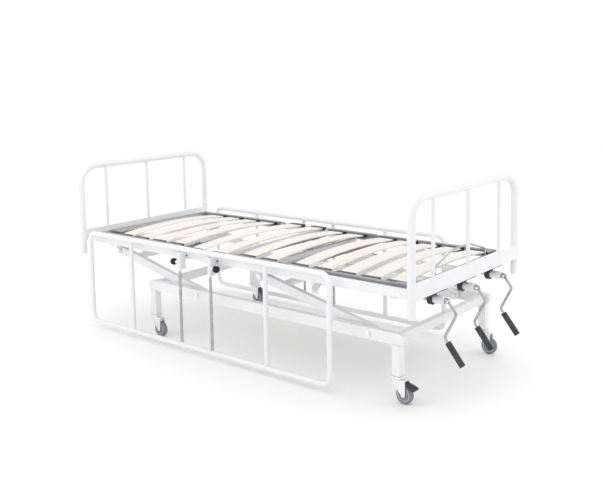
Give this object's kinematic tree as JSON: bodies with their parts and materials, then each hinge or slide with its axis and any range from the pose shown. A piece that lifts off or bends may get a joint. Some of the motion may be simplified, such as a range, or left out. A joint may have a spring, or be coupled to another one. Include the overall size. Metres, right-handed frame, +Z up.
{
  "type": "hospital bed",
  "caption": "Height-adjustable hospital bed with hand cranks, lifting backrest, thigh and leg sections of bowed slats, tubular end boards and sliding side rails.",
  "frame": {"origin": "centre of the bounding box on the floor under the wheels, bed at its lowest, sections flat, side rails lowered, cranks folded", "axes": "+X towards the foot end and its cranks, +Y to the bed's far side, +Z up"},
  "size_m": [2.1718, 0.973, 0.859],
  "materials": {
    "white_paint": "satin",
    "dark_paint": "satin",
    "chrome": "polished",
    "zinc": "satin",
    "black_plastic": "matte",
    "grip_rubber": "matte",
    "slat_wood": "satin",
    "wheel_rubber": "matte",
    "black_bolts": "satin"
  },
  "bodies": {
    "base": {"base_side_beams": "white_paint", "base_cross_beams": "white_paint", "base_legs": "white_paint", "castor_housings": "zinc", "lever_base_pins": "zinc"},
    "head_lever": {"head_lever": "white_paint"},
    "foot_lever": {"foot_lever": "white_paint"},
    "bed": {"bed_side_members": "white_paint", "bed_end_members": "white_paint", "deck_cross_tubes": "white_paint", "lever_hangers": "white_paint", "bed_pivot_pins": "zinc", "head_board": "white_paint", "foot_board": "white_paint", "seat_slats": "slat_wood", "seat_slat_holders": "black_plastic", "rail_guides": "white_paint", "crank_brackets": "black_plastic", "crank_sleeves": "white_paint", "frame_bolts": "black_bolts"},
    "backrest": {"backrest_frame": "dark_paint", "backrest_slats": "slat_wood", "backrest_slat_holders": "black_plastic"},
    "thigh": {"thigh_frame": "dark_paint", "thigh_slats": "slat_wood", "thigh_slat_holders": "black_plastic"},
    "leg": {"leg_frame": "dark_paint", "leg_slats": "slat_wood", "leg_slat_holders": "black_plastic", "mattress_retainer": "chrome"},
    "near_side_rail": {"near_rail": "white_paint", "near_rail_rods": "chrome"},
    "far_side_rail": {"far_rail": "white_paint", "far_rail_rods": "chrome"},
    "castor_foot_near": {"fork_foot_near": "zinc"},
    "wheel_foot_near": {"wheel_foot_near": "wheel_rubber"},
    "castor_foot_far": {"fork_foot_far": "zinc"},
    "wheel_foot_far": {"wheel_foot_far": "wheel_rubber"},
    "castor_head_near": {"fork_head_near": "zinc"},
    "wheel_head_near": {"wheel_head_near": "wheel_rubber"},
    "castor_head_far": {"fork_head_far": "zinc"},
    "wheel_head_far": {"wheel_head_far": "wheel_rubber"},
    "brake_pedal_foot": {"brake_pedal_foot": "black_plastic"},
    "brake_pedal_head": {"brake_pedal_head": "black_plastic"},
    "knob_near_head": {"knob_near_head": "black_plastic"},
    "knob_near_foot": {"knob_near_foot": "black_plastic"},
    "knob_far_head": {"knob_far_head": "black_plastic"},
    "knob_far_foot": {"knob_far_foot": "black_plastic"},
    "spindle_backrest": {"spindle_backrest": "chrome"},
    "crank_arm_backrest": {"crank_arm_backrest": "chrome"},
    "crank_grip_backrest": {"crank_grip_backrest": "grip_rubber"},
    "push_tube_backrest": {"push_tube_backrest": "zinc"},
    "spindle_lift": {"spindle_lift": "chrome"},
    "crank_arm_lift": {"crank_arm_lift": "chrome"},
    "crank_grip_lift": {"crank_grip_lift": "grip_rubber"},
    "push_tube_lift": {"push_tube_lift": "zinc"},
    "spindle_thigh": {"spindle_thigh": "chrome"},
    "crank_arm_thigh": {"crank_arm_thigh": "chrome"},
    "crank_grip_thigh": {"crank_grip_thigh": "grip_rubber"},
    "push_tube_thigh": {"push_tube_thigh": "zinc"}
  },
  "joints": [
    {"name": "castor_foot_near_swivel", "type": "hinge", "parent": "base", "child": "castor_foot_near", "pos_m": [0.85008, -0.369, 0.1], "axis": [0, 0, 1], "continuous": true},
    {"name": "wheel_foot_near_roll", "type": "hinge", "parent": "castor_foot_near", "child": "wheel_foot_near", "pos_m": [0.88208, -0.369, 0.0375], "axis": [0, 1, 0], "continuous": true},
    {"name": "castor_foot_far_swivel", "type": "hinge", "parent": "base", "child": "castor_foot_far", "pos_m": [0.85008, 0.369, 0.1], "axis": [0, 0, 1], "continuous": true},
    {"name": "wheel_foot_far_roll", "type": "hinge", "parent": "castor_foot_far", "child": "wheel_foot_far", "pos_m": [0.88208, 0.369, 0.0375], "axis": [0, 1, 0], "continuous": true},
    {"name": "castor_head_near_swivel", "type": "hinge", "parent": "base", "child": "castor_head_near", "pos_m": [-0.59792, -0.369, 0.1], "axis": [0, 0, 1], "continuous": true},
    {"name": "wheel_head_near_roll", "type": "hinge", "parent": "castor_head_near", "child": "wheel_head_near", "pos_m": [-0.56592, -0.369, 0.0375], "axis": [0, 1, 0], "continuous": true},
    {"name": "castor_head_far_swivel", "type": "hinge", "parent": "base", "child": "castor_head_far", "pos_m": [-0.59792, 0.369, 0.1], "axis": [0, 0, 1], "continuous": true},
    {"name": "wheel_head_far_roll", "type": "hinge", "parent": "castor_head_far", "child": "wheel_head_far", "pos_m": [-0.56592, 0.369, 0.0375], "axis": [0, 1, 0], "continuous": true},
    {"name": "brake_pedal_foot_press", "type": "hinge", "parent": "castor_foot_near", "child": "brake_pedal_foot", "pos_m": [0.88608, -0.369, 0.085], "axis": [0, 1, 0], "range_deg": [0, 12], "stiffness_Nm_per_rad": 1, "springref_deg": -17.19},
    {"name": "brake_pedal_head_press", "type": "hinge", "parent": "castor_head_far", "child": "brake_pedal_head", "pos_m": [-0.56192, 0.369, 0.085], "axis": [0, 1, 0], "range_deg": [0, 12], "stiffness_Nm_per_rad": 1, "springref_deg": -17.19},
    {"name": "lift", "type": "hinge", "parent": "base", "child": "foot_lever", "pos_m": [0.71708, 0, 0.261], "axis": [0, 1, 0], "range_deg": [0, 40]},
    {"name": "head_lever_pivot", "type": "hinge", "parent": "base", "child": "head_lever", "pos_m": [-0.28292, 0, 0.261], "axis": [0, 1, 0], "range_deg": [0, 40]},
    {"name": "bed_level", "type": "hinge", "parent": "foot_lever", "child": "bed", "pos_m": [0.09708, 0, 0.401], "axis": [0, 1, 0], "range_deg": [-40, 0]},
    {"name": "backrest_tilt", "type": "hinge", "parent": "bed", "child": "backrest", "pos_m": [-0.37292, 0, 0.475], "axis": [0, 1, 0], "range_deg": [0, 70]},
    {"name": "thigh_tilt", "type": "hinge", "parent": "bed", "child": "thigh", "pos_m": [-0.06292, 0, 0.475], "axis": [0, -1, 0], "range_deg": [0, 30]},
    {"name": "knee_bend", "type": "hinge", "parent": "thigh", "child": "leg", "pos_m": [0.26208, 0, 0.475], "axis": [0, 1, 0], "range_deg": [0, 44.7]},
    {"name": "near_rail_lift", "type": "slide", "parent": "bed", "child": "near_side_rail", "axis": [0, 0, 1], "range_m": [0, 0.345]},
    {"name": "knob_near_head_pull", "type": "slide", "parent": "bed", "child": "knob_near_head", "axis": [-1, 0, 0], "range_m": [0, 0.008], "stiffness_N_per_m": 400, "springref_m": -0.004},
    {"name": "knob_near_foot_pull", "type": "slide", "parent": "bed", "child": "knob_near_foot", "axis": [1, 0, 0], "range_m": [0, 0.008], "stiffness_N_per_m": 400, "springref_m": -0.004},
    {"name": "far_rail_lift", "type": "slide", "parent": "bed", "child": "far_side_rail", "axis": [0, 0, 1], "range_m": [0, 0.345]},
    {"name": "knob_far_head_pull", "type": "slide", "parent": "bed", "child": "knob_far_head", "axis": [-1, 0, 0], "range_m": [0, 0.008], "stiffness_N_per_m": 400, "springref_m": -0.004},
    {"name": "knob_far_foot_pull", "type": "slide", "parent": "bed", "child": "knob_far_foot", "axis": [1, 0, 0], "range_m": [0, 0.008], "stiffness_N_per_m": 400, "springref_m": -0.004},
    {"name": "crank_backrest_turn", "type": "hinge", "parent": "bed", "child": "spindle_backrest", "pos_m": [0.99908, -0.25, 0.413], "axis": [-1, 0, 0], "range_deg": [0, 3960]},
    {"name": "crank_backrest_fold", "type": "hinge", "parent": "spindle_backrest", "child": "crank_arm_backrest", "pos_m": [1.00908, -0.25, 0.413], "axis": [0, -1, 0], "range_deg": [0, 52]},
    {"name": "crank_backrest_grip", "type": "hinge", "parent": "crank_arm_backrest", "child": "crank_grip_backrest", "pos_m": [1.00795, -0.25, 0.2442], "axis": [0.6157, 0, -0.788], "continuous": true},
    {"name": "push_tube_backrest_travel", "type": "slide", "parent": "bed", "child": "push_tube_backrest", "axis": [-1, 0, 0], "range_m": [0, 0.11013]},
    {"name": "crank_lift_turn", "type": "hinge", "parent": "bed", "child": "spindle_lift", "pos_m": [0.99908, 0, 0.413], "axis": [-1, 0, 0], "range_deg": [0, 3240]},
    {"name": "crank_lift_fold", "type": "hinge", "parent": "spindle_lift", "child": "crank_arm_lift", "pos_m": [1.00908, 0, 0.413], "axis": [0, -1, 0], "range_deg": [0, 52]},
    {"name": "crank_lift_grip", "type": "hinge", "parent": "crank_arm_lift", "child": "crank_grip_lift", "pos_m": [1.00795, 0, 0.2442], "axis": [0.6157, 0, -0.788], "continuous": true},
    {"name": "push_tube_lift_travel", "type": "slide", "parent": "bed", "child": "push_tube_lift", "axis": [-1, 0, 0], "range_m": [0, 0.09002]},
    {"name": "crank_thigh_turn", "type": "hinge", "parent": "bed", "child": "spindle_thigh", "pos_m": [0.99908, 0.25, 0.413], "axis": [-1, 0, 0], "range_deg": [0, 1800]},
    {"name": "crank_thigh_fold", "type": "hinge", "parent": "spindle_thigh", "child": "crank_arm_thigh", "pos_m": [1.00908, 0.25, 0.413], "axis": [0, -1, 0], "range_deg": [0, 52]},
    {"name": "crank_thigh_grip", "type": "hinge", "parent": "crank_arm_thigh", "child": "crank_grip_thigh", "pos_m": [1.00795, 0.25, 0.2442], "axis": [0.6157, 0, -0.788], "continuous": true},
    {"name": "push_tube_thigh_travel", "type": "slide", "parent": "bed", "child": "push_tube_thigh", "axis": [1, 0, 0], "range_m": [0, 0.05]}
  ],
  "couplings": [
    {"joint": "head_lever_pivot", "follows": "lift", "ratio": 1},
    {"joint": "bed_level", "follows": "lift", "ratio": -1},
    {"joint": "knee_bend", "follows": "thigh_tilt", "ratio": 1.49},
    {"joint": "crank_backrest_turn", "follows": "backrest_tilt", "ratio": 56.571},
    {"joint": "push_tube_backrest_travel", "follows": "backrest_tilt", "m_per_rad": 0.090139},
    {"joint": "crank_lift_turn", "follows": "lift", "ratio": 81},
    {"joint": "push_tube_lift_travel", "follows": "lift", "m_per_rad": 0.12894},
    {"joint": "crank_thigh_turn", "follows": "thigh_tilt", "ratio": 60},
    {"joint": "push_tube_thigh_travel", "follows": "thigh_tilt", "m_per_rad": 0.095499}
  ]
}
